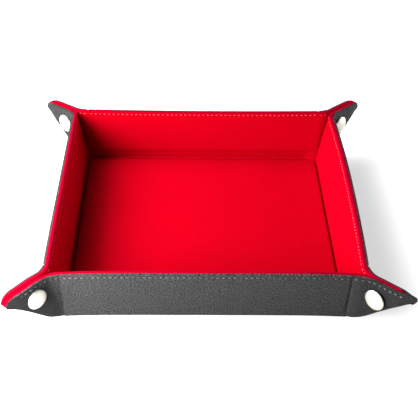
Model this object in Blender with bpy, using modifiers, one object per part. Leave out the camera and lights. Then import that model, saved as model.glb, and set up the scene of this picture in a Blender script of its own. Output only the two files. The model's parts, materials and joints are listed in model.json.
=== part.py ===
"""Folding dice tray: a square of leathercloth, boards and velvet, with four walls that fold up
and press studs that hold its corners pinched together.

Each sheet is drawn flat, as it is cut, with its outside face at z = 0 and the velvet upwards.
Empties on the fold lines then raise it: the base carries four walls, each turned up by FOLD
about its hinge line, and each wall carries two ear halves, each turned back by TUCK about a
slanting crease. A wall's frame has +X along the wall, +Y outwards and up the wall, and +Z
through the sheet towards the velvet.
"""

from math import asin, atan, atan2, cos, pi, radians, sin, sqrt, tan

import bmesh
import bpy
from mathutils import Matrix, Quaternion, Vector

MM = 0.001

# The sheet and its folds
HINGE = 86 * MM  # from the centre to each wall's hinge line
WALL = 39 * MM  # from the hinge line to the rim, up the slope
LEAN = radians(12)  # how far a raised wall leans outwards
CORNER_RADIUS = 10 * MM  # of the flat square's corners

# The stack of layers, from the outside face up
COVER = (0, 0.9 * MM)
BOARD = (1.2 * MM, 2.6 * MM)
LINING = (1.2 * MM, 3.8 * MM)
POCKET_ROOF = 2.9 * MM
EAR_LINING = (1.2 * MM, 3 * MM)
SLACK = 0.3 * MM  # between a board and its pocket

# Gaps at the folds
COVER_GAP = 1.2 * MM  # from a hinge line to the leathercloth
BASE_LINING_GAP = 3.7 * MM
WALL_LINING_GAP = 3 * MM
CREASE_GAP = 1.5 * MM  # from a crease to the layers on each side of it
EAR_APART = 0.5 * MM  # from an ear half's velvet to the corner's upright plane
EAR_SPLIT = 0.8 * MM  # from an ear half's edge to the sheet's diagonal
EAR_START = 3 * MM  # the ears begin this far up from the hinge line
BOARD_HALF = 81 * MM  # half a wall board's length
BOARD_FOOT = 9.2 * MM  # from a hinge line to its wall board
BOARD_RIM = 3 * MM  # lining above a wall board, under the rim
BOARD_CORNER = 1 * MM

# Press studs
SNAP_ALONG = HINGE + 16.1 * MM  # a stud's place along the wall, in the flat sheet
SNAP_UP = 26.5 * MM  # and up the wall
POST_HOLE = 1.5 * MM
SNAP_HOLE = 5.8 * MM
SPRING_HEIGHT = 2.5 * MM
SNAP_STEPS = 20
HOLE_POINTS = 18

FOLD = pi / 2 - LEAN
SPREAD = atan(sin(LEAN))  # between a crease and the line straight up the wall
TUCK = atan2(cos(SPREAD) + sin(SPREAD) * cos(FOLD), sin(FOLD))
EAR_FACE = EAR_LINING[1]
CREASE_FOOT = HINGE - EAR_FACE * sin(FOLD) - EAR_APART * sqrt(2)

WALLS = {"back": 0, "left": pi / 2, "front": pi, "right": -pi / 2}
# The ear on each wall's +X side and on its -X side
EARS = {
    "back": ("right", "left"),
    "left": ("back", "front"),
    "front": ("left", "right"),
    "right": ("front", "back"),
}

# Colour, roughness and metallic value
LEATHER = ((0.022, 0.022, 0.024), 0.55, 0)
GREYBOARD = ((0.3, 0.27, 0.23), 0.9, 0)
VELVET = ((0.6, 0.004, 0.02), 0.9, 0)
NICKEL = ((0.78, 0.78, 0.76), 0.22, 1)
SPRING_WIRE = ((0.5, 0.5, 0.52), 0.3, 1)


def clear_scene():
    for thing in list(bpy.data.objects):
        bpy.data.objects.remove(thing, do_unlink=True)


def new_collection(name):
    made = bpy.data.collections.new(name)
    bpy.context.scene.collection.children.link(made)
    return made


def finish(thing, look):
    """Gives a sub-part a material of its own."""
    colour, roughness, metallic = look
    material = bpy.data.materials.new(thing.name + "_finish")
    material.use_nodes = True
    shader = material.node_tree.nodes["Principled BSDF"]
    shader.inputs["Base Color"].default_value = (*colour, 1)
    shader.inputs["Roughness"].default_value = roughness
    shader.inputs["Metallic"].default_value = metallic
    thing.data.materials.clear()
    thing.data.materials.append(material)


def place(thing, parent, at=(0, 0, 0)):
    """Puts a sub-part at a point of the flat sheet, in its parent's frame."""
    thing.parent = parent
    thing.location = Vector(at) - Vector(parent["foot"])


def fold_line(name, parent, foot, turn):
    """An empty on a fold line. Its foot is the point of the flat sheet that it stands on."""
    empty = bpy.data.objects.new(name, None)
    parts.objects.link(empty)
    empty.empty_display_size = 0.01
    empty.rotation_mode = "QUATERNION"
    empty.rotation_quaternion = turn
    empty["foot"] = foot
    empty.parent = parent
    return empty


def solid_from(thing):
    """The mesh of a curve object, with its caps welded and its faces pointing out."""
    bpy.context.view_layer.update()
    seen = thing.evaluated_get(bpy.context.evaluated_depsgraph_get())
    mesh = bpy.data.meshes.new_from_object(seen)
    work = bmesh.new()
    work.from_mesh(mesh)
    bmesh.ops.remove_doubles(work, verts=work.verts, dist=0.00001)
    bmesh.ops.recalc_face_normals(work, faces=work.faces)
    work.to_mesh(mesh)
    work.free()
    solid = bpy.data.objects.new(thing.name, mesh)
    solid.matrix_world = thing.matrix_world
    parts.objects.link(solid)
    bpy.data.objects.remove(thing, do_unlink=True)
    return solid


def plate(name, loops, layer, look):
    """A flat sheet between the two heights of a layer: its outline, then its holes."""
    low, high = layer
    curve = bpy.data.curves.new(name, "CURVE")
    curve.dimensions = "2D"
    curve.fill_mode = "BOTH"
    curve.extrude = (high - low) / 2
    for loop in loops:
        spline = curve.splines.new("POLY")
        spline.points.add(len(loop) - 1)
        for point, (x, y) in zip(spline.points, loop):
            point.co = (x, y, 0, 1)
        spline.use_cyclic_u = True
    drawn = bpy.data.objects.new(name, curve)
    parts.objects.link(drawn)
    solid = solid_from(drawn)
    solid.name = name
    solid.data.transform(Matrix.Translation((0, 0, (low + high) / 2)))
    finish(solid, look)
    return solid


def turned(name, profile, look):
    """A piece turned on the sheet's normal. The profile is a list of (radius, height)."""
    mesh = bpy.data.meshes.new(name)
    points = [(radius, 0, height) for radius, height in profile]
    count = len(points)
    closed = count if profile[0][0] > 0 else count - 1
    mesh.from_pydata(points, [(i, (i + 1) % count) for i in range(closed)], [])
    piece = bpy.data.objects.new(name, mesh)
    parts.objects.link(piece)
    screw = piece.modifiers.new("Turn", "SCREW")
    screw.axis = "Z"
    screw.steps = screw.render_steps = SNAP_STEPS
    screw.use_merge_vertices = True
    screw.merge_threshold = 0.00001
    screw.use_smooth_shade = True
    finish(piece, look)
    return piece


def rounded(half_x, low_y, high_y, radius, steps=3):
    """A rectangle with rounded corners, as a loop of points."""
    loop = []
    middles = [
        (half_x - radius, high_y - radius, 0),
        (-half_x + radius, high_y - radius, pi / 2),
        (-half_x + radius, low_y + radius, pi),
        (half_x - radius, low_y + radius, 3 * pi / 2),
    ]
    for x, y, start in middles:
        for i in range(steps + 1):
            angle = start + i * pi / 2 / steps
            loop.append((x + radius * cos(angle), y + radius * sin(angle)))
    return loop


def circle(x, y, radius):
    step = 2 * pi / HOLE_POINTS
    return [(x + radius * cos(i * step), y + radius * sin(i * step)) for i in range(HOLE_POINTS)]


def beside_crease(up, offset):
    """A point at a height up the wall, at a distance outwards from the +X side's crease."""
    return (CREASE_FOOT + up * tan(SPREAD) + offset / cos(SPREAD), up)


def wall_outline(low):
    right = [beside_crease(low, -CREASE_GAP), beside_crease(WALL, -CREASE_GAP)]
    return right + [(-x, y) for x, y in reversed(right)]


def ear_outline(side):
    """An ear half of the +X side (1) or the -X side (-1): crease, rim, round tip, diagonal."""
    loop = [beside_crease(EAR_START, CREASE_GAP), beside_crease(WALL, CREASE_GAP)]
    middle = (HINGE + WALL - CORNER_RADIUS, WALL - CORNER_RADIUS)
    last = pi / 4 + asin(EAR_SPLIT / CORNER_RADIUS)
    steps = 6
    for i in range(steps + 1):
        angle = pi / 2 + (last - pi / 2) * i / steps
        loop.append((middle[0] + CORNER_RADIUS * cos(angle), middle[1] + CORNER_RADIUS * sin(angle)))
    loop.append((HINGE + EAR_START - EAR_SPLIT * sqrt(2), EAR_START))
    return [(side * x, y) for x, y in loop]


def pocket(lining, half_x, low_y, high_y, at):
    """Cuts the room for a board into a lining, from below."""
    bpy.ops.mesh.primitive_cube_add(size=1)
    cutter = bpy.context.object
    for owner in list(cutter.users_collection):
        owner.objects.unlink(cutter)
    cutters.objects.link(cutter)
    cutter.name = lining.name + "_pocket"
    low_z, high_z = LINING[0] - 1 * MM, POCKET_ROOF
    size = (2 * half_x, high_y - low_y, high_z - low_z)
    cutter.data.transform(Matrix.Diagonal((*size, 1)))
    cutter.data.transform(Matrix.Translation((0, (low_y + high_y) / 2, (low_z + high_z) / 2)))
    cutter.hide_render = True
    cutter.display_type = "WIRE"
    place(cutter, at)
    cut = lining.modifiers.new("Pocket", "BOOLEAN")
    cut.object = cutter
    cut.solver = "EXACT"


def make_base():
    foot = fold_line("base_centre", None, (0, 0, 0), Quaternion())
    half = HINGE - COVER_GAP
    place(plate("base_cover", [rounded(half, -half, half, 2 * MM)], COVER, LEATHER), foot)
    half = HINGE - BASE_LINING_GAP
    lining = plate("base_lining", [rounded(half, -half, half, BOARD_CORNER)], LINING, VELVET)
    place(lining, foot)
    half -= 1 * MM
    pocket(lining, half, -half, half, foot)
    half -= SLACK
    place(plate("base_board", [rounded(half, -half, half, BOARD_CORNER)], BOARD, GREYBOARD), foot)
    return foot


def make_wall(wall, heading, base):
    """A wall's layers, on an empty that turns them up about the hinge line."""
    turn = Quaternion((0, 0, 1), heading) @ Quaternion((1, 0, 0), FOLD)
    hinge = fold_line(wall + "_hinge", base, (0, 0, 0), turn)
    hinge.location = Quaternion((0, 0, 1), heading) @ Vector((0, HINGE, 0))
    name = wall + "_wall"
    place(plate(name + "_cover", [wall_outline(COVER_GAP)], COVER, LEATHER), hinge)
    lining = plate(name + "_lining", [wall_outline(WALL_LINING_GAP)], LINING, VELVET)
    place(lining, hinge)
    low, high = BOARD_FOOT - SLACK, WALL - BOARD_RIM
    pocket(lining, BOARD_HALF, low, high, hinge)
    shape = rounded(BOARD_HALF - SLACK, low + SLACK, high - SLACK, BOARD_CORNER)
    place(plate(name + "_board", [shape], BOARD, GREYBOARD), hinge)
    return hinge


def make_ear(name, side, hinge):
    """An ear half's layers, on an empty that turns them back about the wall's crease."""
    crease = Vector((side * sin(SPREAD), cos(SPREAD), 0))
    foot = (side * CREASE_FOOT, 0, EAR_FACE)
    ear = fold_line(name + "_crease", hinge, foot, Quaternion(crease, side * TUCK))
    ear.location = foot
    outline = ear_outline(side)
    post = circle(side * SNAP_ALONG, SNAP_UP, POST_HOLE)
    seat = circle(side * SNAP_ALONG, SNAP_UP, SNAP_HOLE)
    place(plate(name + "_cover", [outline, post], COVER, LEATHER), ear)
    place(plate(name + "_lining", [outline, seat], EAR_LINING, VELVET), ear)
    return ear


def cap_profile():
    """A domed cap outside the sheet, and the post that goes through it."""
    rim, crown, under = 6.25 * MM, 1.9 * MM, 0.3 * MM
    dome = [(rim * sin(i * pi / 12), -0.75 * MM - (crown - 0.75 * MM) * cos(i * pi / 12)) for i in range(7)]
    stem = [(rim, -under - 0.1 * MM), (rim - 0.15 * MM, -under), (1.05 * MM, -under)]
    return list(reversed(dome + stem + [(1.05 * MM, 1.6 * MM), (0, 1.6 * MM)]))


def socket_profile():
    """The flanged ring that the stud's knob clicks into, with a groove for its spring."""
    points = [
        (2.8, 3.4),
        (4.0, 3.4),
        (4.2, 3.2),
        (4.2, 1.7),
        (5.3, 1.5),
        (5.3, 1.2),
        (1.35, 1.2),
        (1.35, 1.5),
        (2.8, 1.5),
        (2.8, 2.2),
        (3.5, 2.2),
        (3.5, 2.8),
        (2.8, 2.8),
    ]
    return [(radius * MM, height * MM) for radius, height in points]


def stud_profile():
    """The flange and knob, hollow from below where the cap's post is driven in."""
    points = [
        (0, 4.9),
        (1.4, 4.85),
        (2.0, 4.5),
        (2.1, 4.1),
        (1.8, 3.3),
        (1.8, 1.7),
        (5.3, 1.5),
        (5.3, 1.2),
        (1.35, 1.2),
        (1.35, 2.4),
        (0, 2.4),
    ]
    return [(radius * MM, height * MM) for radius, height in points]


def ring_spring(name):
    """The open wire ring in a socket's groove."""
    curve = bpy.data.curves.new(name, "CURVE")
    curve.dimensions = "3D"
    curve.bevel_depth = 0.2 * MM
    curve.bevel_resolution = 1
    curve.use_fill_caps = True
    spline = curve.splines.new("POLY")
    count, radius, sweep = 14, 3.1 * MM, radians(310)
    spline.points.add(count - 1)
    for i, point in enumerate(spline.points):
        angle = sweep * i / (count - 1)
        point.co = (radius * cos(angle), radius * sin(angle), SPRING_HEIGHT, 1)
    drawn = bpy.data.objects.new(name, curve)
    parts.objects.link(drawn)
    solid = solid_from(drawn)
    solid.name = name
    solid.data.shade_smooth()
    finish(solid, SPRING_WIRE)
    return solid


def make_snap(name, socket_ear, socket_side, stud_ear, stud_side):
    """A press stud: a cap and socket on one half of an ear, a cap and stud on the other."""
    at_socket = (socket_side * SNAP_ALONG, SNAP_UP, 0)
    at_stud = (stud_side * SNAP_ALONG, SNAP_UP, 0)
    place(turned(name + "_socket_cap", cap_profile(), NICKEL), socket_ear, at_socket)
    place(turned(name + "_socket", socket_profile(), NICKEL), socket_ear, at_socket)
    place(ring_spring(name + "_spring"), socket_ear, at_socket)
    place(turned(name + "_stud_cap", cap_profile(), NICKEL), stud_ear, at_stud)
    place(turned(name + "_stud", stud_profile(), NICKEL), stud_ear, at_stud)


def main():
    base = make_base()
    ears = {}
    for wall, heading in WALLS.items():
        hinge = make_wall(wall, heading, base)
        for side, end in zip((1, -1), EARS[wall]):
            ears[wall, end] = (make_ear(f"{wall}_wall_{end}_ear", side, hinge), side)
    for wall in ("front", "back"):
        for end in ("left", "right"):
            make_snap(f"{wall}_{end}_snap", *ears[wall, end], *ears[end, wall])


clear_scene()
parts = new_collection("folding_dice_tray")
cutters = new_collection("cutters")
main()
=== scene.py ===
"""Folding dice tray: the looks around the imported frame.

A wall is worked out standing up, in its own frame: x along the wall, o outwards from the middle
of the tray, z up. On its slope, u is the distance up from the hinge line and h the depth into
the sheet. At a corner the two halves of an ear lie on both sides of an upright diagonal plane,
where "out" is the distance from the middle of the tray along the diagonal and "off" the distance
from that plane.
"""

import json
from collections import namedtuple
from math import atan2, cos, pi, radians, sin, sqrt, tan

import bmesh
import bpy
import numpy as np
from mathutils import Matrix, Vector

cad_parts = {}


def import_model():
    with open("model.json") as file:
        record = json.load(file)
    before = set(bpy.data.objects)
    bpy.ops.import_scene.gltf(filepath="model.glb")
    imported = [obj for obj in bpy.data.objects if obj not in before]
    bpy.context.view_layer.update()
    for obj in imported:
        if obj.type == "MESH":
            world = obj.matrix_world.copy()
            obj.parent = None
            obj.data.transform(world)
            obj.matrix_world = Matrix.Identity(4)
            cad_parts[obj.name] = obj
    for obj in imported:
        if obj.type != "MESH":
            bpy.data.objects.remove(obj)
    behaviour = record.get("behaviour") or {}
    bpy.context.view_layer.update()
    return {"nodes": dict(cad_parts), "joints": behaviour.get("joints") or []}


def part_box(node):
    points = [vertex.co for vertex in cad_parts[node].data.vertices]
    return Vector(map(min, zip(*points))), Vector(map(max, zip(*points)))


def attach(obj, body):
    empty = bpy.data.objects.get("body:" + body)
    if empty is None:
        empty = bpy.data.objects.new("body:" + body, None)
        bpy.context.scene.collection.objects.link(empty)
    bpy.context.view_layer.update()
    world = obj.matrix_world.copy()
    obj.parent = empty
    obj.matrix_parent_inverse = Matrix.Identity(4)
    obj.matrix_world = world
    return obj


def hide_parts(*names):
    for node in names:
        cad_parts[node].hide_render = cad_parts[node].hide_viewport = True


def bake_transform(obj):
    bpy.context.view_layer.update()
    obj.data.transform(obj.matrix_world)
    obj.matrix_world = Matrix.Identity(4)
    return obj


MM = 0.001
ROOT2 = sqrt(2)
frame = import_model()
joints = {j["name"]: j for j in frame["joints"]}

HINGE = -joints["front_fold"]["pos_m"][1]  # from the middle to a wall's hinge line
crease = joints["front_left_tuck"]["axis"]
LEAN = pi / 2 - atan2(abs(crease[2]), abs(crease[1]))  # how far a wall leans outwards
SL, CL, TL = sin(LEAN), cos(LEAN), tan(LEAN)
SKIN = 0.9 * MM  # the leathercloth
RIM_SKIN = 1.35 * MM  # it is turned in along a wall's rim
EAR_RIM_SKIN = 1.1 * MM
WALL = (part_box("front_wall_cover")[1].z - SKIN * SL) / CL  # from hinge line to rim, up the slope
RISE = WALL * CL  # the rim's height
UNDER = 0.97 * MM  # from the outside to the velvet's back where there is no board
BOARD_TOP = 2.9 * MM  # and over a board
LINING = 3.8 * MM  # and to the velvet's face
SEAM = 83.5 * MM  # where a wall's skins end and its ears' begin
CORNER_GAP = 0.1 * MM  # from the diagonal plane to the velvet on each side

HEADINGS = {"back": 0, "left": pi / 2, "front": pi, "right": -pi / 2}
EARS = {  # at a wall's +x end, then at its -x end
    "back": ("right", "left"),
    "left": ("back", "front"),
    "front": ("left", "right"),
    "right": ("front", "back"),
}

# How an ear stands: its tip is lifted and stretched outwards, it is less full from a place on,
# leathercloth closes over its end or not, it droops where it leaves the walls, and its two
# layers of velvet part from a place on
Corner = namedtuple("Corner", "lift stretch fullness thins_from closed droop parting parts_from")
PLAIN = Corner(0, 0, 1.0, 126 * MM, False, 0, 0.12 * MM, 128 * MM)
CORNERS = {
    ("front", "left"): PLAIN._replace(
        lift=-2.2 * MM, stretch=-1.5 * MM, droop=1.6 * MM, parting=0.42 * MM, parts_from=122 * MM
    ),
    ("front", "right"): PLAIN._replace(
        lift=1.2 * MM,
        stretch=2.0 * MM,
        fullness=0.62,
        thins_from=120 * MM,
        closed=True,
        droop=1.7 * MM,
    ),
    ("back", "left"): PLAIN._replace(lift=-1.8 * MM, fullness=0.95),
    ("back", "right"): PLAIN,
}


def corner_of(wall, end):
    return CORNERS[(wall, end) if wall in ("front", "back") else (end, wall)]


def smooth(t):
    t = np.clip(t, 0, 1)
    return t * t * (3 - 2 * t)


def world(wall, points, side=1):
    """Points (x, o, z) of a wall's own frame, in the row frame. It turns directions too."""
    points = np.asarray(points, float)
    x, o, z = side * points[..., 0], points[..., 1], points[..., 2]
    cos_h, sin_h = cos(HEADINGS[wall]), sin(HEADINGS[wall])
    return np.stack([x * cos_h - o * sin_h, x * sin_h + o * cos_h, z], -1)


def flat_uv(wall, x, o, side=1):
    return world(wall, np.stack([x, o, 0 * x], -1), side)[..., :2]


def on_wall(u, h):
    """(o, z) of a point a distance u up the slope and h into the sheet."""
    return HINGE + u * SL - h * CL, u * CL + h * SL


# ---------------------------------------------------------------- materials


def new_material(name):
    material = bpy.data.materials.new(name)
    material.use_nodes = True
    tree = material.node_tree
    return material, tree, tree.nodes["Principled BSDF"]


def add(tree, kind, **settings):
    node = tree.nodes.new(kind)
    for key, value in settings.items():
        if key in node.inputs:
            node.inputs[key].default_value = value
        else:
            setattr(node, key, value)
    return node


def set_inputs(node, **values):
    """Sets constants on a node's sockets, whose names are given with _ for a space."""
    for key, value in values.items():
        node.inputs[key.replace("_", " ")].default_value = value


def noise(tree, source, scale, detail=2.0, rough=0.5):
    node = add(tree, "ShaderNodeTexNoise", Scale=scale, Detail=detail, Roughness=rough)
    tree.links.new(source, node.inputs["Vector"])
    return node.outputs["Fac"]


def ramp(tree, source, stops):
    node = add(tree, "ShaderNodeValToRGB")
    elements = node.color_ramp.elements
    while len(elements) < len(stops):
        elements.new(0.5)
    for element, (at, colour) in zip(elements, stops):
        element.position = at
        element.color = (*colour, 1)
    tree.links.new(source, node.inputs["Fac"])
    return node.outputs["Color"]


def bump(tree, height, strength, distance, before=None):
    node = add(tree, "ShaderNodeBump", Strength=strength, Distance=distance)
    tree.links.new(height, node.inputs["Height"])
    if before is not None:
        tree.links.new(before, node.inputs["Normal"])
    return node.outputs["Normal"]


def level(tree, source, low, high, start=0.0, end=1.0, kind="LINEAR"):
    """Takes source from between start and end to between low and high."""
    node = add(tree, "ShaderNodeMapRange", interpolation_type=kind)
    set_inputs(node, From_Min=start, From_Max=end, To_Min=low, To_Max=high)
    tree.links.new(source, node.inputs["Value"])
    return node.outputs["Result"]


def sheet_coordinates(tree):
    """The flat sheet's own coordinates in metres, which stay on it as it folds."""
    return add(tree, "ShaderNodeUVMap", uv_map="sheet").outputs["UV"]


VELVET_TONES = ((0.2, 0.235, 0.003), (0.5, 0.295, 0.0045), (0.8, 0.345, 0.0065))  # at, red, blue
PILE_SHARE = 0.45  # the fibres' part of the colour's change; the nap's patches are the rest


def velvet_material(name="red_velvet", shade=1.0, blue=1.0):
    material, tree, shader = new_material(name)
    at = sheet_coordinates(tree)
    pile = noise(tree, at, scale=2600, detail=3, rough=0.65)
    nap = noise(tree, at, scale=45, detail=3, rough=0.55)
    mix = add(tree, "ShaderNodeMath", operation="MULTIPLY_ADD")
    tree.links.new(pile, mix.inputs[0])
    mix.inputs[1].default_value = PILE_SHARE
    tree.links.new(level(tree, nap, 0.15, 0.4), mix.inputs[2])
    stops = [(t, (red * shade, 0.0, b * shade * blue)) for t, red, b in VELVET_TONES]
    tree.links.new(ramp(tree, mix.outputs[0], stops), shader.inputs["Base Color"])
    set_inputs(shader, Roughness=0.95, Specular_IOR_Level=0.005)
    set_inputs(shader, Sheen_Weight=0.2, Sheen_Roughness=0.35, Sheen_Tint=(1, 0.0, 0.07, 1))
    normal = bump(tree, pile, strength=0.35, distance=0.25 * MM)
    normal = bump(tree, nap, strength=0.12, distance=0.6 * MM, before=normal)
    tree.links.new(normal, shader.inputs["Normal"])
    return material


GRAIN_SCALE = 950  # cells to a metre
GRAIN_WARP = (0.0007, 0.0007, 0)  # how far the cells' edges wander, in metres
CELL_EDGE = 0.18  # the share of a cell that slopes up from its edge
# where the walls' painted light gives way to the ears' painted shade
PAINTED_SHADE_FROM, PAINTED_SHADE_TO = SEAM - 1.5 * MM, SEAM + 9 * MM


def painted_ear_shade(tree, at, wall_painted_light, ear_painted_shade):
    """Painted light and shade: scales the colour from the walls' painted-light value to the ears'
    painted-shade value, where both flat coordinates are past a wall's end.
    """
    apart = add(tree, "ShaderNodeSeparateXYZ")
    tree.links.new(at, apart.inputs[0])
    least = add(tree, "ShaderNodeMath", operation="MINIMUM")
    for k in range(2):
        size = add(tree, "ShaderNodeMath", operation="ABSOLUTE")
        tree.links.new(apart.outputs[k], size.inputs[0])
        tree.links.new(size.outputs[0], least.inputs[k])
    reach = (PAINTED_SHADE_FROM, PAINTED_SHADE_TO)
    return level(tree, least.outputs[0], wall_painted_light, ear_painted_shade, *reach, kind="SMOOTHSTEP")


# The walls' colour is scaled up as painted light, the ears' colour down as painted shade
def leather_material(
    name="black_leathercloth", shade=1.0, specular=0.09, wall_painted_light=1.8, ear_painted_shade=0.85
):
    material, tree, shader = new_material(name)
    at = sheet_coordinates(tree)
    cells = add(tree, "ShaderNodeTexVoronoi", feature="DISTANCE_TO_EDGE", Scale=GRAIN_SCALE)
    warp = add(tree, "ShaderNodeVectorMath", operation="MULTIPLY_ADD")
    wobble = add(tree, "ShaderNodeTexNoise", Scale=700, Detail=1)
    tree.links.new(at, wobble.inputs["Vector"])
    tree.links.new(wobble.outputs["Color"], warp.inputs[0])
    warp.inputs[1].default_value = GRAIN_WARP
    tree.links.new(at, warp.inputs[2])
    tree.links.new(warp.outputs["Vector"], cells.inputs["Vector"])
    grain = level(tree, cells.outputs["Distance"], 0, 1, end=CELL_EDGE)
    fine = noise(tree, at, scale=1150, detail=3, rough=0.7)
    broad = noise(tree, at, scale=60, detail=3, rough=0.6)
    colour = ramp(tree, fine, [(0.38, (0.002 * shade,) * 3), (0.62, (0.022 * shade,) * 3)])
    # the colour scaled by the walls' painted light and the ears' painted shade
    scaled = add(tree, "ShaderNodeVectorMath", operation="SCALE")
    tree.links.new(colour, scaled.inputs[0])
    tree.links.new(painted_ear_shade(tree, at, wall_painted_light, ear_painted_shade), scaled.inputs["Scale"])
    tree.links.new(scaled.outputs["Vector"], shader.inputs["Base Color"])
    tree.links.new(level(tree, broad, 0.42, 0.6), shader.inputs["Roughness"])
    set_inputs(shader, Specular_IOR_Level=specular)
    normal = bump(tree, grain, strength=1.0, distance=0.3 * MM)
    normal = bump(tree, fine, strength=1.0, distance=0.5 * MM, before=normal)
    normal = bump(tree, broad, strength=0.15, distance=0.8 * MM, before=normal)
    tree.links.new(normal, shader.inputs["Normal"])
    return material


def plain_material(name, low, high, scale, roughness, metallic=0.0, strength=0.1, specular=0.5):
    """Two close colours in a fine noise over the object's own coordinates."""
    material, tree, shader = new_material(name)
    at = add(tree, "ShaderNodeTexCoord").outputs["Object"]
    grain = noise(tree, at, scale, detail=3, rough=0.6)
    tree.links.new(ramp(tree, grain, [(0.3, low), (0.7, high)]), shader.inputs["Base Color"])
    rough = level(tree, grain, roughness * 0.85, roughness * 1.15)
    tree.links.new(rough, shader.inputs["Roughness"])
    set_inputs(shader, Metallic=metallic, Specular_IOR_Level=specular)
    tree.links.new(bump(tree, grain, strength, 0.05 * MM), shader.inputs["Normal"])
    return material


def metal(name, low, high, scale, roughness, metallic=1.0, strength=0.06):
    return plain_material(name, low, high, scale, roughness, metallic, strength)


def dull(name, low, high, scale, roughness, strength, specular):
    return plain_material(name, low, high, scale, roughness, 0.0, strength, specular)


VELVET = velvet_material()
# A copy of the velvet for its rounded rims: painted shade at 0.62 of its colour, with more blue
VELVET_RIM_PAINTED_SHADE = velvet_material("red_velvet_rim_painted_shade", shade=0.62, blue=2.6)
LEATHER = leather_material()
# A copy of the leathercloth at 1.5 times its colour, over the rims and the ears' edges: painted
# light
LEATHER_RIM_PAINTED_LIGHT = leather_material("black_leathercloth_rim_painted_light", 1.5, 0.12, 1, 1)
# Painted light on the back-left ear: a brighter copy of the leathercloth, with a stronger sheen and
# none of the ears' painted shade
LEATHER_LIT = leather_material("black_leathercloth_lit", 1.0, 0.2, 1, 1)  # the back-left ear's
CAP = metal("nickel_cap", (0.48, 0.452, 0.4), (0.56, 0.53, 0.47), 900, 0.34, 0.8, 0.05)
NICKEL = metal("nickel_inner", (0.62, 0.61, 0.59), (0.74, 0.73, 0.71), 1200, 0.3)
WIRE = metal("spring_wire", (0.45, 0.45, 0.46), (0.58, 0.58, 0.6), 1500, 0.32)
GREYBOARD = dull("greyboard", (0.24, 0.215, 0.18), (0.36, 0.33, 0.28), 1400, 0.9, 0.3, 0.2)
# painted shade: near-black for the inside of the needle holes
NEEDLE_HOLE_SHADE = dull(
    "needle_hole_shade", (0.001, 0.0005, 0.0005), (0.004, 0.001, 0.001), 900, 1.0, 0.1, 0
)
DARK_THREAD = dull(
    "black_thread", (0.012, 0.012, 0.012), (0.11, 0.11, 0.11), 500, 0.6, 0.4, 0.3
)
RED_THREAD = dull("red_thread", (0.42, 0.01, 0.015), (0.72, 0.09, 0.1), 700, 0.75, 0.4, 0.1)


# ---------------------------------------------------------------- mesh helpers

MERGE_WITHIN = 0.000004
SLIVER = 0.000002
SHEET_SHARP, CAP_SHARP = radians(48), radians(50)


def as_piece(name, mesh, materials):
    for material in materials:
        mesh.materials.append(material)
    piece = bpy.data.objects.new(name, mesh)
    bpy.context.scene.collection.objects.link(piece)
    return piece


def lengths(line):
    """Distance along a line of points, from its first one."""
    steps = np.linalg.norm(np.diff(line, axis=0), axis=-1)
    return np.concatenate([np.zeros((1,) + steps.shape[1:]), np.cumsum(steps, 0)], 0)


def points_at(places, runs, line):
    """Points of a line at places along it, where runs gives each of its own points' place."""
    return np.stack([np.interp(places, runs, column) for column in line.T], -1)


def shell(name, top, under, uv, material, slot, rim=None, rim_rows=1):
    """A closed sheet between two grids of points of the same size, rows by columns.

    The skin between the last rows gets the material rim.
    """
    rows, width = top.shape[:2]
    count = rows * width
    points = np.concatenate([top.reshape(-1, 3), under.reshape(-1, 3)])
    index = np.arange(count).reshape(rows, width)
    faces = []
    for r in range(rows - 1):
        for c in range(width - 1):
            quad = [index[r, c], index[r, c + 1], index[r + 1, c + 1], index[r + 1, c]]
            faces.append(quad)
            faces.append([i + count for i in reversed(quad)])
    loop = [*index[0, :], *index[1:, -1], *index[-1, -2::-1], *index[-2:0:-1, 0]]
    for a, b in zip(loop, loop[1:] + loop[:1]):
        faces.append([b, a, a + count, b + count])
    mesh = bpy.data.meshes.new(name)
    mesh.from_pydata(points.tolist(), [], [[int(i) for i in f] for f in faces])
    if rim:
        for face in mesh.polygons:
            if all(i % count >= count - width * rim_rows for i in face.vertices):
                face.material_index = 1
    work = bmesh.new()
    work.from_mesh(mesh)
    layer = work.loops.layers.uv.new("sheet")
    both = np.concatenate([uv.reshape(-1, 2), uv.reshape(-1, 2)])
    for face in work.faces:
        for corner in face.loops:
            corner[layer].uv = both[corner.vert.index]
    bmesh.ops.remove_doubles(work, verts=work.verts, dist=MERGE_WITHIN)
    bmesh.ops.dissolve_degenerate(work, edges=work.edges, dist=SLIVER)
    bmesh.ops.recalc_face_normals(work, faces=work.faces)
    work.to_mesh(mesh)
    work.free()
    mesh.shade_smooth()
    mesh.set_sharp_from_angle(angle=SHEET_SHARP)
    return as_piece(name, mesh, [material, rim] if rim else [material])


def normals(grid):
    """Unit normals of a grid, on the side that a column step crossed with a row step points to."""
    n = np.cross(np.gradient(grid, axis=1), np.gradient(grid, axis=0))
    return n / np.maximum(np.linalg.norm(n, axis=-1, keepdims=True), 1e-12)


# ---------------------------------------------------------------- walls

STRIP = HINGE - 2.5 * MM  # where the base's leathercloth ends and a wall's begins
BASE_END = 79.9 * MM  # the same for the velvet
FLOOR_EDGE = HINGE - LINING / CL + LINING * TL  # where the floor's face would meet a wall's
BOARD_HALF = 81.4 * MM  # the half length of the space for a wall's board
LIP_UP = 1.8 * MM  # how far up the rounded bottom edge reaches
LIP_OUT = 1.1 * MM  # how far it would stand out, were it sharp
LIP_STEPS = 7
DIP, DIP_AT, DIP_WIDTH = 0.65 * MM, 83.6 * MM, 0.95 * MM  # past a board's end
FLARE, END_FLARE, FLARE_UP = 0.25 * MM, 1.15 * MM, 7 * MM  # of a wall's foot
SAG = 0.7 * MM  # of a rim
BOW, BOW_SKEW = 2.0 * MM, 0.35
GROOVE_END, GROOVE_FADE = 74 * MM, 8 * MM  # the groove at a wall's foot fades from its end on
WALL_COLUMNS = 61
DIP_COLUMNS = np.array([80.2, 81.2, 81.9, 82.5, 83.0]) * MM  # more columns for the dip
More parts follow.
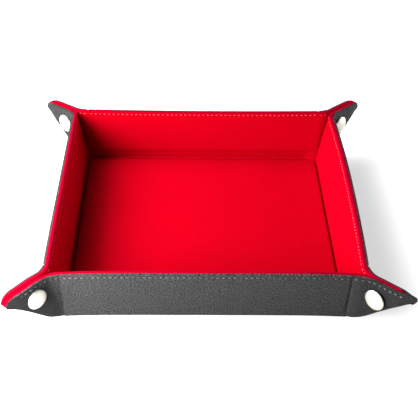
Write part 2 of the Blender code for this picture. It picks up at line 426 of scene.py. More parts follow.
OUTER_UPS = np.array([5, 8, 12, 16, 20, 24, 28, 31.5, 34.5, 36.8, 38.2]) * MM  # rows, up to 39


def board_end(x):
    """How far the leathercloth dips past the end of a wall's board."""
    return DIP * np.exp(-(((np.abs(x) - DIP_AT) / DIP_WIDTH) ** 2))


def flare(x):
    """How far each row of a wall's leathercloth stands out at its foot, the most at its ends."""
    z = OUTER[:, 1][:, None]
    fade = (1 - smooth(z / FLARE_UP)) * smooth(z / (0.5 * MM) + 0.25)
    fade = fade * np.clip(np.arange(len(z)) / 3, 0, 1)[:, None]
    return (FLARE + END_FLARE * (np.abs(x) / SEAM) ** 5) * fade


def sway(wall, x):
    """How far a wall's rim sags: a little between its ends, and where its corner droops."""
    t = np.clip(x / SEAM, -1, 1)
    ends = [corner_of(wall, end).droop for end in EARS[wall]]
    return SAG * (1 - t * t) + np.where(t > 0, *ends) * t**4


def bow(wall, x, z):
    """How far a wall is bowed outwards between its ends: the right one, the most at the back."""
    if wall != "right":
        return 0 * (x + z)
    t = x / SEAM * (1 if EARS[wall][0] == "back" else -1)
    return BOW * np.clip(1 - t * t, 0, 1) * (1 + BOW_SKEW * t) * np.clip(z / RISE, 0, 1) ** 1.5


def lip(a, c, b):
    """A quarter of an ellipse from a to b, which leaves a towards c."""
    turn = np.linspace(0, pi / 2, LIP_STEPS)
    turn = turn.reshape((-1,) + (1,) * np.ndim(a))
    return a + (c - a) * np.sin(turn) + (b - c) * (1 - np.cos(turn))


def leather_rows():
    """A wall's outer profile as (o, z): the lip under it, then the slope up to the rim."""
    start = np.array([STRIP, 0.0])
    fold = np.array([HINGE + LIP_OUT, 0.0])
    first = np.array([HINGE + LIP_UP * TL, LIP_UP])
    slope = [on_wall(u, 0) for u in OUTER_UPS * (WALL / (39 * MM))]
    rim = [on_wall(WALL - 0.25 * MM, 0), on_wall(WALL, 0.28 * MM)]
    return np.concatenate([lip(start, fold, first), slope, rim])


def offset_rows(rows, depth):
    """The profile moved into the sheet by depth."""
    step = np.gradient(rows, axis=0)
    normal = np.stack([-step[:, 1], step[:, 0]], -1)
    return rows + depth * normal / np.linalg.norm(normal, axis=1, keepdims=True)


def columns(count, half):
    """Places along a wall, closer together at its ends."""
    t = np.linspace(-1, 1, count)
    return half * np.sin(t * pi / 2) * 0.35 + half * t * 0.65


OUTER = leather_rows()
BEHIND_OUTER = offset_rows(OUTER, SKIN)
BEHIND_OUTER[0] = (STRIP, SKIN)
for row, below_rim in ((-1, 0), (-2, 0.5 * MM), (-3, 1.2 * MM)):
    BEHIND_OUTER[row] = on_wall(WALL - below_rim, RIM_SKIN)


def wall_leather(wall):
    xs = np.sort(np.concatenate([columns(WALL_COLUMNS, SEAM), DIP_COLUMNS, -DIP_COLUMNS]))
    grids = []
    for rows in (OUTER, BEHIND_OUTER):
        o, z = rows[:, 0][:, None], rows[:, 1][:, None]
        up = np.clip(z / RISE, 0, 1)
        out = o - board_end(xs) * np.clip(up * 6, 0, 1) + bow(wall, xs, z) + flare(xs)
        along_wall = np.broadcast_to(xs, out.shape)
        grids.append(np.stack([along_wall, out, z - sway(wall, xs) * up**2], -1))
    top, under = grids
    uv = flat_uv(wall, top[..., 0], STRIP + lengths(top))
    name = wall + "_wall_leathercloth"
    skins = world(wall, top), world(wall, under)
    piece = shell(name, *skins, uv, LEATHER, "leathercloth", LEATHER_RIM_PAINTED_LIGHT)
    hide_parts(wall + "_wall_cover")
    return piece


FLOOR_ROWS = [  # (o from the floor's edge, z from the velvet's face)
    (BASE_END - FLOOR_EDGE, 0),
    (-2.0 * MM, 0),
    (-1.3 * MM, -0.05 * MM),
    (-0.75 * MM, -0.35 * MM),
    (-0.35 * MM, -0.95 * MM),
    (-0.05 * MM, -1.7 * MM),
]
GROOVE_ROWS = [  # (u, how deep the groove at a wall's foot is there), in millimetres
    (3.6, 1.75),
    (4.6, 1.45),
    (6.2, 1.1),
    (7.6, 0.95),
    (8.4, 0.75),
    (9.0, 0.4),
    (9.6, 0.12),
]
VELVET_ROWS = [(u * MM, LINING, groove * MM) for u, groove in GROOVE_ROWS]  # (u, h, groove)
VELVET_ROWS += [(u * MM, LINING, 0) for u in (10.4, 12, 15, 19, 23, 27, 30.5, 33.5, 36)]
VELVET_ROWS += [(WALL - 0.9 * MM, LINING, 0), (WALL - 0.32 * MM, LINING - 0.32 * MM, 0)]
VELVET_ROWS += [(WALL, LINING - 1.0 * MM, 0)]
FLOOR_UNDER, FOOT_UNDER = 1.3 * MM, 1.2 * MM  # how deep the velvet's back lies in the fold
FOLD_TOP = 9.4 * MM  # the fold's velvet reaches this far up a wall
LEAST_VELVET = 0.8 * MM


def wall_velvet(wall):
    """The velvet of a wall, from the floor round the groove at its foot and over its rim."""
    spread = columns(WALL_COLUMNS, 1.0)
    top, under = [], []

    def groove_share(xs):
        return 1 - smooth((np.abs(xs) - GROOVE_END) / GROOVE_FADE)

    for r, (out, sunk) in enumerate(FLOOR_ROWS):
        o = np.full(WALL_COLUMNS, FLOOR_EDGE + out)
        xs = spread * (o - 0.03 * MM * r)
        top.append(np.stack([xs, o, LINING + sunk * groove_share(xs)], -1))
        back = BOARD_TOP if r < 2 else FLOOR_UNDER
        under.append(np.stack([xs, o, np.full(WALL_COLUMNS, back)], -1))
    for u, h, groove in VELVET_ROWS:
        end = min(SEAM, on_wall(u, h)[0] - CORNER_GAP * ROOT2)
        xs = spread * end
        depth = h - groove * groove_share(xs)
        o, z = on_wall(u, depth)
        sag = sway(wall, xs) * (z / RISE) ** 2
        top.append(np.stack([xs, o + bow(wall, xs, z), z - sag], -1))
        over_board = (np.abs(xs) < BOARD_HALF) & (u < WALL - 2.6 * MM)
        low = np.where(over_board, BOARD_TOP, UNDER)
        if u > WALL - 1 * MM:
            low = low + RIM_SKIN - SKIN
        low = np.minimum(low, depth - LEAST_VELVET)
        if u < FOLD_TOP:
            low = np.minimum(low, FOOT_UNDER)
        o, z = on_wall(u, low)
        xs = spread * (SEAM if u > 6 * MM else end)
        under.append(np.stack([xs, o + bow(wall, xs, z), z - sag], -1))
    top, under = np.array(top), np.array(under)
    uv = flat_uv(wall, top[..., 0], BASE_END + lengths(top))
    name = wall + "_wall_velvet"
    skins = world(wall, top), world(wall, under)
    piece = shell(name, *skins, uv, VELVET, "velvet", VELVET_RIM_PAINTED_SHADE, 3)
    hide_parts(wall + "_wall_lining")
    return piece


def bowed_board(wall):
    """The board of a bowed wall, which follows its skins."""
    ups, places = np.linspace(FOLD_TOP, WALL - 3.1 * MM, 9), np.linspace(-1, 1, 33) * 80.9 * MM
    u, xs = np.meshgrid(ups, places, indexing="ij")
    grids = []
    for h in (2.6 * MM, 1.2 * MM):
        o, z = on_wall(u, h)
        grids.append(world(wall, np.stack([xs, o + bow(wall, xs, z), z], -1)))
    uv = flat_uv(wall, xs, HINGE + u)
    piece = shell(wall + "_wall_bowed_board", *grids, uv, GREYBOARD, "greyboard")
    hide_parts(wall + "_wall_board")
    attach(piece, wall + "_wall")
    return piece


# ---------------------------------------------------------------- ears

# An ear half's outlines in its own plane, as (out, z) in millimetres: the leathercloth's fold,
# rim and tip, then the velvet's
Outline = namedtuple("Outline", "fold rim tip velvet_fold velvet_rim velvet_tip")
RIM = [(125.6, 38.15), (129, 38.15), (133.1, 38.05), (140, 37.75), (147, 37.35), (152, 37.1)]
RIM += [(155.2, 36.9)]
FOLD_START = [(119.85, 0), (122, 0.55)]
OPEN = Outline(
    fold=FOLD_START
    + [(124.2, 1.15), (126.0, 1.8), (128.2, 3.05), (131, 5.2), (134.9, 9.1), (140.6, 14.8)]
    + [(146.1, 20.1), (151.7, 25.2), (156.5, 28.9), (159.8, 30.6)],
    rim=RIM,
    tip=[(159.8, 30.6), (160.6, 31.8), (160.2, 33.5), (159.3, 35.0), (157.6, 36.3), (155.2, 36.9)],
    velvet_fold=[(117.6, 4.3), (121, 3.2), (124, 2.6), (127, 3.2), (130, 5.5), (134.2, 9.8)]
    + [(139.6, 15.3), (145.1, 20.7), (150.7, 25.9), (155.0, 29.2), (158.9, 31.2)],
    velvet_rim=RIM,
    velvet_tip=[(158.9, 31.2), (160.6, 31.9), (161.1, 33.5), (160.4, 35.0), (158.2, 36.5)]
    + [(155.2, 37.0)],
)
CLOSED_RIM = [(125.6, 38.1), (129, 38.0), (133.1, 37.7), (140, 37.2), (147, 37.2)]
CLOSED = Outline(
    fold=FOLD_START
    + [(124.2, 1.25), (126.3, 2.2), (129.6, 4.5), (133.4, 7.9), (137.0, 11.6), (140.5, 15.4)]
    + [(143.9, 18.8), (147.1, 22.3), (150.4, 25.5), (153.6, 28.6), (157.0, 31.6), (159.2, 33.3)],
    rim=CLOSED_RIM + [(152, 37.3), (155.2, 37.4), (159.0, 37.5)],
    tip=[(159.2, 33.3), (160.6, 33.8), (161.3, 35.0), (161.3, 36.6), (160.6, 37.4), (159.0, 37.5)],
    velvet_fold=[(117.6, 4.3), (121, 3.2), (124, 2.8), (127, 4.0), (130.5, 6.9), (134.5, 10.6)]
    + [(139.6, 16.0), (144.5, 21.0), (149.0, 25.6), (152.5, 28.9)],
    velvet_rim=CLOSED_RIM + [(150.5, 37.3), (153.2, 36.9)],
    velvet_tip=[(152.5, 28.9), (154.2, 30.9), (154.8, 33.2), (154.8, 35.0), (154.3, 36.2)]
    + [(153.2, 36.9)],
)
HEIGHTS = [0, 6, 14, 22, 27, 32, 38]  # of an ear half, and its thickness there, in millimetres
THICKNESSES = [1.15, 1.75, 2.6, 3.2, 3.4, 3.6, 3.9]
EAR_COLUMNS = np.linspace(0, 1, 34) ** 1.25  # shares of the way out, closer together at the wall
EASE = 0.22  # the share of the way in which an outline leaves the wall's own profile
ALONG_STEPS, ALONG_BLUR = 400, 13
PILE_RISE = 0.105 * MM  # how far the velvet swells past an ear's rim


def along(points, t):
    """Places on a smooth line through points, at shares t of its length."""
    points = np.array(points, float) * MM
    runs = lengths(points)
    fine = np.linspace(0, runs[-1], ALONG_STEPS)
    line = points_at(fine, runs, points)
    kernel = np.hanning(ALONG_BLUR + 2)[1:-1]
    kernel /= kernel.sum()
    pad = ALONG_BLUR // 2
    before = 2 * line[0] - line[pad:0:-1]
    after = 2 * line[-1] - line[-2 : -2 - pad : -1]
    longer = np.concatenate([before, line, after])
    line = np.stack([np.convolve(column, kernel, "valid") for column in longer.T], -1)
    return points_at(np.asarray(t) * runs[-1], fine, line)


def begun_at(line, start, s):
    """A line moved so that it begins at start, and keeps its own way further on."""
    return line + (np.asarray(start) - line[0]) * (1 - smooth(s / EASE))[:, None]


def drawn_out(out, corner):
    """Moves an ear's points out along the diagonal, the tip the most."""
    return out + corner.stretch * smooth((out - 124 * MM) / (36 * MM)) ** 1.5


def half_thickness(out, z, corner):
    """From the diagonal plane to an ear half's outside."""
    full = np.interp(z / MM, HEIGHTS, THICKNESSES) * MM
    full = full * (1 - 0.24 * smooth((out - 150 * MM) / (10 * MM)))
    full = full * (1 - (1 - corner.fullness) * smooth((out - corner.thins_from) / (15 * MM)))
    if corner.closed:
        full = full * (1 - 0.5 * smooth((out - 154.5 * MM) / (5.5 * MM)))
    return full


def bend(out, z, h, off):
    """(x, o) of the sheet's surface at a depth h, which turns from a wall into its ear."""
    face = HINGE + z * TL - h / CL
    reach = face - off * ROOT2 - SEAM
    radius = np.maximum(reach, 1e-6) / tan(pi / 8)
    last = (SEAM + face + radius) / ROOT2
    turn = pi / 4 + np.arcsin(np.clip((out - last) / radius, -sin(pi / 4), 0))
    turning = (out < last) & (reach > 1e-6)
    x = np.where(turning, SEAM + radius * np.sin(turn), (out - off) / ROOT2)
    o = np.where(turning, face + radius - radius * np.cos(turn), (out + off) / ROOT2)
    return x, o


def seam_out(o):
    """Where a wall's seam with its ears is on the diagonal, for a place o on it."""
    return (SEAM + o) / ROOT2


def lifted(out, z, corner):
    """Raises an ear towards its tip, and lets it droop at its root."""
    root = 1 - smooth((out - seam_out(HINGE + z * TL)) / (16 * MM))
    tip = smooth((out - 124 * MM) / (40 * MM)) ** 0.8
    return z + corner.lift * tip - corner.droop * (z / RISE) ** 2 * root


def ear_grid(fold, rim, tip, shares, start_low, start_high, corner):
    """(out, z) of an ear: straight lines from its fold to its rim, rounded at the tip."""
    low = begun_at(along(fold, EAR_COLUMNS), start_low, EAR_COLUMNS)
    high = begun_at(along(rim, EAR_COLUMNS), start_high, EAR_COLUMNS)
    t = np.asarray(shares)[:, None, None]
    grid = low[None] * (1 - t) + high[None] * t
    straight = low[-1] * (1 - t[:, 0]) + high[-1] * t[:, 0]
    grid += (along(tip, shares) - straight)[:, None, :] * (EAR_COLUMNS[None, :, None] ** 5)
    grid[..., 0] = drawn_out(grid[..., 0], corner)
    return grid


def ear_leather(wall, side, end):
    """An ear half's leathercloth, with its wall's rows: the lip under its fold, then its face."""
    corner, s = corner_of(wall, end), EAR_COLUMNS
    outline = CLOSED if corner.closed else OPEN
    seam = OUTER[LIP_STEPS - 1 :]
    heights = seam[:, 1]
    start_low = (seam_out(HINGE), 0.0)
    start_high = (seam_out(HINGE + heights[-1] * TL), heights[-1])
    shares = np.concatenate([[0], heights / heights[-1]])
    grid = ear_grid(*outline[:3], shares, start_low, start_high, corner)
    fold, grid = grid[0], grid[1:]
    out, z = grid[..., 0], grid[..., 1]
    full = half_thickness(out, z, corner)
    x, o = bend(out, z, 0, full)
    x[:, 0] = SEAM
    o[:, 0] = seam[:, 0]
    z[:, 0] = heights
    o = o - board_end(x) * np.clip(z / (6 * MM), 0, 1)
    main = np.stack([x, o, lifted(out, z, corner)], -1)
    # the rounded lip, from the diagonal plane to where the fold would be, were it sharp
    fold_z = lifted(*fold.T, corner)
    sharp_x, sharp_o = bend(*fold.T, 0, half_thickness(*fold.T, corner))
    sharp_x[0], sharp_o[0] = SEAM, HINGE
    short = (seam_out(HINGE) - STRIP * ROOT2) * (1 - smooth(s / 0.08))
    on_plane = (fold[:, 0] - short) / ROOT2
    start = np.stack([on_plane, on_plane, fold_z], -1)
    rounded = lip(start, np.stack([sharp_x, sharp_o, fold_z], -1), main[0])
    top = np.concatenate([rounded[:-1], main])
    top[..., 1] += flare(SEAM) * (1 - smooth(s / 0.15))
    # its back
    thick = np.full(top.shape[:2], SKIN)
    at_rim = RIM_SKIN + (EAR_RIM_SKIN - RIM_SKIN) * smooth(s / 0.25)
    thick[-3:] = np.minimum(at_rim, np.maximum(full[-3:] - 0.3 * MM, SKIN))
    n = normals(top)
    facing = 1 if np.dot(n[10, 20], (-1, 1, 0)) > 0 else -1
    under = top - facing * n * thick[..., None]
    behind_o, behind_z = BEHIND_OUTER.T
    seam_z = lifted(seam_out(behind_o), behind_z, corner._replace(lift=0))
    behind_o = behind_o + flare(SEAM)[:, 0]
    under[:, 0] = np.stack([np.full(len(OUTER), SEAM), behind_o, seam_z], -1)
    under[0, :, :2] = under[0, :, :2].mean(-1, keepdims=True)
    under[-1, :, 2] = top[-1, :, 2] + 0.1 * MM
    plan = np.broadcast_to(SEAM + (out - out[:, :1])[:1], rounded[:-1].shape[:2])
    plan = np.concatenate([plan, SEAM + (out - out[:, :1])])
    up = np.concatenate([STRIP + lengths(rounded)[:-1], HINGE + z / CL])
    uv = flat_uv(wall, plan, up, side)
    name = f"{wall}_wall_{end}_ear"
    # the back-left ear gets the copy of the leathercloth with painted light
    finish = LEATHER_LIT if {wall, end} == {"back", "left"} else LEATHER
    skins = world(wall, top, side), world(wall, under, side)
    piece = shell(name + "_leathercloth", *skins, uv, finish, "leathercloth", LEATHER_RIM_PAINTED_LIGHT)
    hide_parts(name + "_cover")
    return piece


def ear_velvet(wall, side, end):
    """An ear half's velvet, with its wall's rows from the floor's edge up."""
    corner, s = corner_of(wall, end), EAR_COLUMNS
    outline = CLOSED if corner.closed else OPEN
    faces = np.array([h for _, h, _ in VELVET_ROWS])
    at_rim = np.array([u > WALL - 1 * MM for u, _, _ in VELVET_ROWS])
    backs = np.where(at_rim, UNDER + (RIM_SKIN - SKIN), UNDER)
    grids = []
    for deep, depths in ((False, faces), (True, backs)):
        seam_o, seam_z = on_wall(np.array([u for u, _, _ in VELVET_ROWS]), depths)
        seam_x = SEAM if deep else np.minimum(SEAM, seam_o - CORNER_GAP * ROOT2)
        shares = (seam_z - seam_z[0]) / (seam_z[-1] - seam_z[0])
        begin = (seam_x + seam_o) / ROOT2
        starts = (begin[0], seam_z[0]), (begin[-1], seam_z[-1])
        grid = ear_grid(*outline[3:], shares, *starts, corner)
        out, z = grid[..., 0], grid[..., 1]
        z[:, 0] = seam_z
        full = half_thickness(out, z, corner)
        gap = CORNER_GAP + corner.parting * smooth((out - corner.parts_from) / (8 * MM))
        h = depths[:, None]
        if deep:
            h = h - (RIM_SKIN - EAR_RIM_SKIN) * smooth(s / 0.25) * at_rim[:, None]
            off = np.maximum(full - h, gap + 0.35 * MM)
        else:
            share = np.clip((full - UNDER - gap) / (LINING - UNDER), 0.2, 1)
            off = gap + (LINING - h) * share
        x, o = bend(out, z, h, off)
        x[:, 0] = seam_x
        o[:, 0] = seam_o
        if not deep:
            top_share = np.clip((shares - 0.9) / 0.1, 0, 1)[:, None]
            z = z + PILE_RISE * smooth((out - 126 * MM) / (8 * MM)) * top_share
        grids.append(np.stack([x, o, lifted(out, z, corner)], -1))
    top, under = grids
    plan = SEAM + (top[..., 0] - top[:, :1, 0]) * 1.2
    uv = flat_uv(wall, plan, HINGE + top[..., 2] / CL, side)
    name = f"{wall}_wall_{end}_ear"
    skins = world(wall, top, side), world(wall, under, side)
    piece = shell(name + "_velvet", *skins, uv, VELVET, "velvet", VELVET_RIM_PAINTED_SHADE, 3)
    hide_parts(name + "_lining")
    return piece


# ---------------------------------------------------------------- base

KITE = np.array([[(82.2, 82.2), (82.9, 85.0)], [(85.0, 82.9), (87.2, 87.2)]]) * MM
KITE_FACE, KITE_BACK = 2.2 * MM, 1.15 * MM


def plate(name, half, low, high, material, slot, count=21):
    line = np.linspace(-half, half, count)
    x, y = np.meshgrid(line, line)
    top = np.stack([x, y, np.full_like(x, high)], -1)
    under = np.stack([x, y, np.full_like(x, low)], -1)
    return shell(name, top, under, top[..., :2].copy(), material, slot)


def with_corners(piece):
    """Adds the velvet that lies in the tray's corners, over the holes where the folds meet."""
    work = bmesh.new()
    work.from_mesh(piece.data)
    t = np.linspace(0, 1, 7)
    rows, places = t[:, None, None], t[None, :, None]
    near, far = (side[0] * (1 - places) + side[1] * places for side in KITE)
    for signs in ((1, 1), (1, -1), (-1, 1), (-1, -1)):
        plan = (near * (1 - rows) + far * rows) * signs
        heights = (np.full(plan.shape[:2] + (1,), z) for z in (KITE_FACE, KITE_BACK))
        top, under = (np.concatenate([plan, z], -1) for z in heights)
        kite = shell("kite", top, under, plan, VELVET, "velvet")
        work.from_mesh(kite.data)
        bpy.data.objects.remove(kite)
    work.to_mesh(piece.data)
    work.free()
    return piece


base_leather = plate("base_leathercloth", STRIP, 0, SKIN, LEATHER, "leathercloth")
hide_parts("base_cover")
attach(base_leather, "base")
base_velvet = with_corners(plate("base_velvet", BASE_END, BOARD_TOP, LINING, VELVET, "velvet"))
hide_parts("base_lining")
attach(base_velvet, "base")


# ---------------------------------------------------------------- stitches

STITCH_PITCH = 3.2 * MM
STITCH_LENGTH = 2.3 * MM
STITCH_WIDTH = 0.52 * MM
STITCH_SINK = 0.28 * MM  # how far a stitch's ends sink into the sheet
STITCH_DROP = 2.35 * MM  # from the rim to the stitches
STITCH_RINGS, STITCH_SIDES = 5, 6
# the needle holes, drawn as near-black discs of painted shade
HOLE = 0.34 * MM
HOLE_STRETCH = 1.15
STITCH_ROWS = (  # (on the inside, depth of the surface, thread, slot, name)
    (False, 0.0, DARK_THREAD, "leathercloth", "outer"),
    (True, LINING, RED_THREAD, "velvet", "inner"),
)


def add_tube(vertices, faces, rings):
    """Adds a closed tube through rings of points to a mesh's lists."""
    sides = len(rings[0])
    first, last = len(vertices), len(vertices) + (len(rings) - 1) * sides
    vertices.extend(point for ring in rings for point in ring)
    for start in range(first, last, sides):
        for k in range(sides):
            a, b = start + k, start + (k + 1) % sides
            faces.append([a, b, b + sides, a + sides])
    faces.append([first + k for k in reversed(range(sides))])
    faces.append([last + k for k in range(sides)])


def stitch_mesh(name, centres, tangents, outwards, material, slot):
    """Short threads on a surface, which sink into it at both ends, beside near-black discs that
    paint the shade in the needle holes.
    """
    vertices, faces = [], []
    turns = [2 * pi * k / STITCH_SIDES for k in range(STITCH_SIDES)]
    frames = [(c, t, out, np.cross(t, out)) for c, t, out in zip(centres, tangents, outwards)]
    for centre, tangent, out, across in frames:
        rings = []
        for t in np.linspace(-1, 1, STITCH_RINGS):
            size = STITCH_WIDTH / 2 * sqrt(max(1 - 0.82 * t * t, 0.05))
            middle = centre + tangent * t * STITCH_LENGTH / 2 - out * STITCH_SINK * t * t
            rings.append([middle + (across * cos(a) + out * sin(a)) * size for a in turns])
        add_tube(vertices, faces, rings)
    threads = len(faces)
    # near-black discs at the needle holes: painted shade
    for centre, tangent, out, across in frames:
        beside = centre + tangent * STITCH_PITCH / 2
        circle = [tangent * cos(a) * HOLE_STRETCH + across * sin(a) for a in turns]
        rings = [
            [beside + out * height + point * HOLE for point in circle]
            for height in (-0.1 * MM, 0.03 * MM)
        ]
        add_tube(vertices, faces, rings)
    mesh = bpy.data.meshes.new(name)
    mesh.from_pydata([list(v) for v in vertices], [], faces)
    for face in mesh.polygons[threads:]:
        face.material_index = 1
    mesh.shade_smooth()
    return as_piece(name, mesh, [material, NEEDLE_HOLE_SHADE])


def across_of(tangent, inward):
    """The unit vector square to a tangent that leans as the wall's face does."""
    plan = np.array([-tangent[1], tangent[0], 0.0])
    plan /= np.linalg.norm(plan)
    out = plan * CL - np.array([0, 0, SL])
    return -out if inward else out


def run_stitches(name, wall, side, line, inward, material, slot):
    """Stitches along a line of points of a wall's frame, on its inside or its outside."""
    runs = lengths(line)
    count = int(runs[-1] // STITCH_PITCH)
    places = (np.arange(count) + 0.5) * runs[-1] / count
    step = 0.4 * MM
    centre = points_at(places, runs, line)
    tangent = points_at(places + step, runs, line) - points_at(places - step, runs, line)
    tangent /= np.linalg.norm(tangent, axis=1, keepdims=True)
    outward = np.array([across_of(t, inward) for t in tangent])
    turned = [world(wall, v, side) for v in (centre, tangent, outward)]
    return stitch_mesh(name, *turned, material, slot)


def wall_stitches(wall):
    xs = np.linspace(-SEAM + 1.2 * MM, SEAM - 1.2 * MM, 80)
    made = []
    for inward, h, material, slot, kind in STITCH_ROWS:
        o, z = on_wall(WALL - STITCH_DROP, h)
        drop = sway(wall, xs) * (z / RISE) ** 2
        dip = 0 * xs if inward else board_end(xs)
        line = np.stack([xs, o - dip + bow(wall, xs, z), z - drop], -1)
        name = f"{wall}_wall_{kind}_stitching"
        piece = run_stitches(name, wall, 1, line, inward, material, slot)
        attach(piece, wall + "_wall")
        made.append(piece)
    return made


def ear_stitches(wall, side, end):
    corner = corner_of(wall, end)
    outline, stop = (CLOSED, 0.86) if corner.closed else (OPEN, 0.9)
    s = np.linspace(0, 1, 60)
    line = begun_at(along(outline.rim, s * stop), (seam_out(HINGE + RISE * TL), RISE), s)
    line[:, 0] = drawn_out(line[:, 0], corner)
    made = []
    for inward, h, material, slot, kind in STITCH_ROWS:
        out, z = line[:, 0], line[:, 1] - STITCH_DROP * CL + h * SL
        if inward:
            out, z = out[:16] - LINING / CL / ROOT2, z[:16]
            off = np.full(len(out), CORNER_GAP + 0.05 * MM)
        else:
            off = half_thickness(out, z, corner)
        x, o = bend(out, z, h, off)
        if not inward:
            o = o - board_end(x)
        path = np.stack([x, o, lifted(out, z, corner)], -1)
        path = path[path[:, 0] >= SEAM + 0.2 * MM]
        if inward:
            path = path[(path[:, 1] - path[:, 0]) / ROOT2 > 0.9 * MM]
            if len(path) < 3 or np.linalg.norm(path[-1] - path[0]) < STITCH_PITCH:
                continue
        name = f"{wall}_wall_{end}_ear_{kind}_stitching"
        piece = run_stitches(name, wall, side, path, inward, material, slot)
        bend_with_ear(piece)
        made.append(piece)
    return made


# ---------------------------------------------------------------- press studs

CAP_PROFILE = [  # a cap from the leathercloth to its crown, as (radius, height) in millimetres
    (0, -1.3),
    (5.3, -1.3),
    (5.3, -0.25),
    (6.25, -0.25),
    (6.32, -0.1),
    (6.4, 0.12),
    (6.38, 0.38),
    (6.22, 0.62),
    (5.95, 0.8),
    (5.4, 1.02),
    (4.4, 1.35),
    (3.2, 1.64),
    (1.7, 1.84),
    (0.0, 1.9),
]
CROWN_DEPTH = 1e-5  # the CAD cap's points within this of its far side are its crown


def lathe(name, profile, place, material, steps=64):
    """A piece turned about the third axis of place, from (radius, height) pairs.

    The first and the last radius are 0.
    """
    vertices, faces, rings = [], [], []
    for radius, height in profile:
        count = steps if radius else 1
        rings.append(list(range(len(vertices), len(vertices) + count)))
        for angle in (2 * pi * k / steps for k in range(count)):
            vertices.append((radius * cos(angle), radius * sin(angle), height))
    for a, b in zip(rings, rings[1:]):
        for k in range(steps):
            n = (k + 1) % steps
            if len(a) == 1:
                faces.append([a[0], b[n], b[k]])
            elif len(b) == 1:
                faces.append([a[k], a[n], b[0]])
            else:
                faces.append([a[k], a[n], b[n], b[k]])
    mesh = bpy.data.meshes.new(name)
    mesh.from_pydata(vertices, [], faces)
    mesh.transform(place)
    work = bmesh.new()
    work.from_mesh(mesh)
    bmesh.ops.recalc_face_normals(work, faces=work.faces)
    work.to_mesh(mesh)
    work.free()
    mesh.shade_smooth()
    mesh.set_sharp_from_angle(angle=CAP_SHARP)
    return as_piece(name, mesh, [material])


def cap_place(node, wall, side):
    """A cap's own frame: its axis is the ear's outward side, its foot the leathercloth."""
    axis = Vector((-side / ROOT2, 1 / ROOT2, 0))
    axis = Matrix.Rotation(HEADINGS[wall], 3, "Z") @ axis
    vertices = [v.co for v in frame["nodes"][node].data.vertices]
    far = max(v.dot(axis) for v in vertices)
    crown = [v for v in vertices if v.dot(axis) > far - CROWN_DEPTH]
    foot = sum(crown, Vector()) / len(crown) - axis * CAP_PROFILE[-1][1] * MM
    return Matrix.Translation(foot) @ axis.to_track_quat("Z", "Y").to_matrix().to_4x4()


def make_cap(node, wall, side, end):
    profile = [(r * MM, h * MM) for r, h in CAP_PROFILE]
    place = cap_place(node, wall, side)
    piece = lathe(node.replace("_cap", "_dome"), profile, place, CAP)
    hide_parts(node)
    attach(piece, f"{wall}_wall_{end}_ear")
    return piece


# ---------------------------------------------------------------- put together

FINISHES = {"_board": GREYBOARD, "_socket": NICKEL, "_stud": NICKEL, "_spring": WIRE}


def bend_with_ear(piece):
    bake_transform(piece)


def bend_with_wall(piece):
    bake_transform(piece)


for wall in HEADINGS:
    leather = wall_leather(wall)
    bend_with_wall(leather)
    velvet = wall_velvet(wall)
    bend_with_wall(velvet)
    outer, inner = wall_stitches(wall)
    board = bowed_board(wall).name if wall == "right" else wall + "_wall_board"
    for side, end in zip((1, -1), EARS[wall]):
        skin = ear_leather(wall, side, end)
        bend_with_ear(skin)
        pile = ear_velvet(wall, side, end)
        bend_with_ear(pile)
        threads = ear_stitches(wall, side, end)

for wall in ("front", "back"):
    for hand in ("left", "right"):
        snap = f"{wall}_{hand}_snap"
        for part, own, other in (("socket", wall, hand), ("stud", hand, wall)):
            side = 1 if EARS[own][0] == other else -1
            make_cap(f"{snap}_{part}_cap", own, side, other)

for node, thing in frame["nodes"].items():
    for ending, finish in FINISHES.items():
        if node.endswith(ending):
            for slot in thing.material_slots:
                slot.material = finish


# ---------------------------------------------------------------- studio

FLOOR_HALF = 4  # metres
FLOOR_DROP = 0.05 * MM
# the floor's painted shadow of the tray: a square where its glow is weaker
PAINTED_SHADOW_CENTRE, PAINTED_SHADOW_HALF = (0.012, 0, 0), (0.096, 0.07, 0)  # the floor's weaker square, in metres
PAINTED_SHADOW_EDGE = 0.046
PAINTED_SHADOW_GLOW = 0.56
BACKDROP_RADIUS, BACKDROP_HEIGHT, BACKDROP_SIDES = 3.9, 4.0, 48
WHITE = (1, 1, 1, 1)
LAMPS = {  # place in metres, side of the square face, power
    "left_key": ((-0.33, -0.01, 0.245), 0.2, 3.5),
    "back_left_fill": ((-0.405, 0.234, 0.452), 0.42, 9.0),
    "front_left_fill": ((-0.492, -0.586, 0.234), 0.3, 2.6),
    "front_left_near": ((-0.186, -0.222, 0.078), 0.12, 3.3),
    "right_low": ((0.749, 0.273, 0.07), 0.3, 12),
}
LAMPS_AIM = (0, 0, 0.01)
SKY_STRENGTH = 0.02
CAMERA_PLACE = (-0.011128, -0.517954, 0.384571)
CAMERA_HEADING, CAMERA_DOWN, CAMERA_ROLL = -1.566, 35.361, 1.204  # degrees
LENS, SENSOR = 83.15, 36  # millimetres


def square_light(name, place, at, size, power):
    lamp = bpy.data.lights.new(name, "AREA")
    lamp.shape = "RECTANGLE"
    lamp.size = lamp.size_y = size
    lamp.energy = power
    thing = bpy.data.objects.new(name, lamp)
    thing.visible_camera = False
    bpy.context.scene.collection.objects.link(thing)
    thing.location = place
    thing.rotation_euler = (Vector(at) - Vector(place)).to_track_quat("-Z", "Y").to_euler()


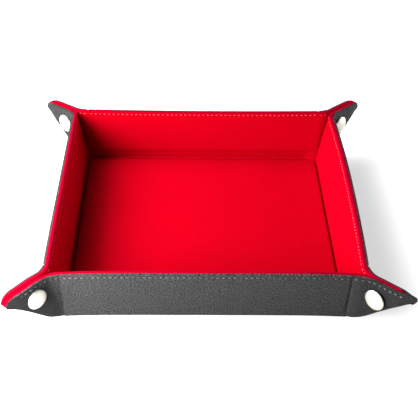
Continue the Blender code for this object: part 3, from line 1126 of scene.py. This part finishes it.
def floor_material():
    """Its glow is weaker in a soft-edged square around the tray: a painted shadow of the tray."""
    material, tree, shader = new_material("studio_floor")
    set_inputs(shader, Base_Color=(0.3, 0.3, 0.3, 1), Roughness=0.9, Specular_IOR_Level=0.1)
    set_inputs(shader, Emission_Color=WHITE)
    at = add(tree, "ShaderNodeTexCoord").outputs["Object"]
    steps = (("SUBTRACT", PAINTED_SHADOW_CENTRE), ("ABSOLUTE", None), ("SUBTRACT", PAINTED_SHADOW_HALF))
    for operation, values in (*steps, ("MAXIMUM", (0, 0, 0))):
        step = add(tree, "ShaderNodeVectorMath", operation=operation)
        tree.links.new(at, step.inputs[0])
        if values:
            step.inputs[1].default_value = values
        at = step.outputs["Vector"]
    reach = add(tree, "ShaderNodeVectorMath", operation="LENGTH")
    tree.links.new(at, reach.inputs[0])
    glow = level(tree, reach.outputs["Value"], PAINTED_SHADOW_GLOW, 1.0, end=PAINTED_SHADOW_EDGE, kind="SMOOTHSTEP")
    tree.links.new(glow, shader.inputs["Emission Strength"])
    return material


def backdrop_material():
    material, _, shader = new_material("studio_backdrop")
    set_inputs(shader, Base_Color=(0, 0, 0, 1), Emission_Color=WHITE, Emission_Strength=1.0)
    return material


def staged(name, vertices, faces, material):
    mesh = bpy.data.meshes.new(name)
    mesh.from_pydata(vertices, [], faces)
    mesh.materials.append(material)
    thing = bpy.data.objects.new(name, mesh)
    bpy.context.scene.collection.objects.link(thing)
    return thing


square = [(x * FLOOR_HALF, y * FLOOR_HALF, 0) for x, y in ((-1, -1), (1, -1), (1, 1), (-1, 1))]
floor = staged("studio_floor", square, [(0, 1, 2, 3)], floor_material())
floor.location.z = -FLOOR_DROP

# a white backdrop that only the camera sees: a drum with a lid
count = BACKDROP_SIDES
turns = [2 * pi * k / count for k in range(count)]
ring = [(BACKDROP_RADIUS * cos(turn), BACKDROP_RADIUS * sin(turn)) for turn in turns]
drum = [(x, y, z) for z in (0.0, BACKDROP_HEIGHT) for x, y in ring]
sides = [(k, (k + 1) % count, count + (k + 1) % count, count + k) for k in range(count)]
lid = tuple(range(count, 2 * count))
backdrop = staged("studio_backdrop", drum, sides + [lid], backdrop_material())
for ray in ("diffuse", "glossy", "transmission", "volume_scatter", "shadow"):
    setattr(backdrop, "visible_" + ray, False)

for lamp, (place, size, power) in LAMPS.items():
    square_light(lamp, place, LAMPS_AIM, size, power)

sky = bpy.data.worlds.new("studio")
bpy.context.scene.world = sky
sky.use_nodes = True
set_inputs(sky.node_tree.nodes["Background"], Color=WHITE, Strength=SKY_STRENGTH)

camera_data = bpy.data.cameras.new("camera")
camera_data.lens = LENS
camera_data.sensor_width = SENSOR
camera_data.clip_start = 0.01
camera = bpy.data.objects.new("camera", camera_data)
camera.location = CAMERA_PLACE
look = Matrix.Rotation(radians(CAMERA_HEADING), 4, "Z")
look = look @ Matrix.Rotation(radians(90 - CAMERA_DOWN), 4, "X")
look = look @ Matrix.Rotation(radians(CAMERA_ROLL), 4, "Z")
camera.rotation_euler = look.to_euler()
bpy.context.scene.collection.objects.link(camera)
bpy.context.scene.camera = camera
bpy.context.scene.view_settings.view_transform = "Standard"
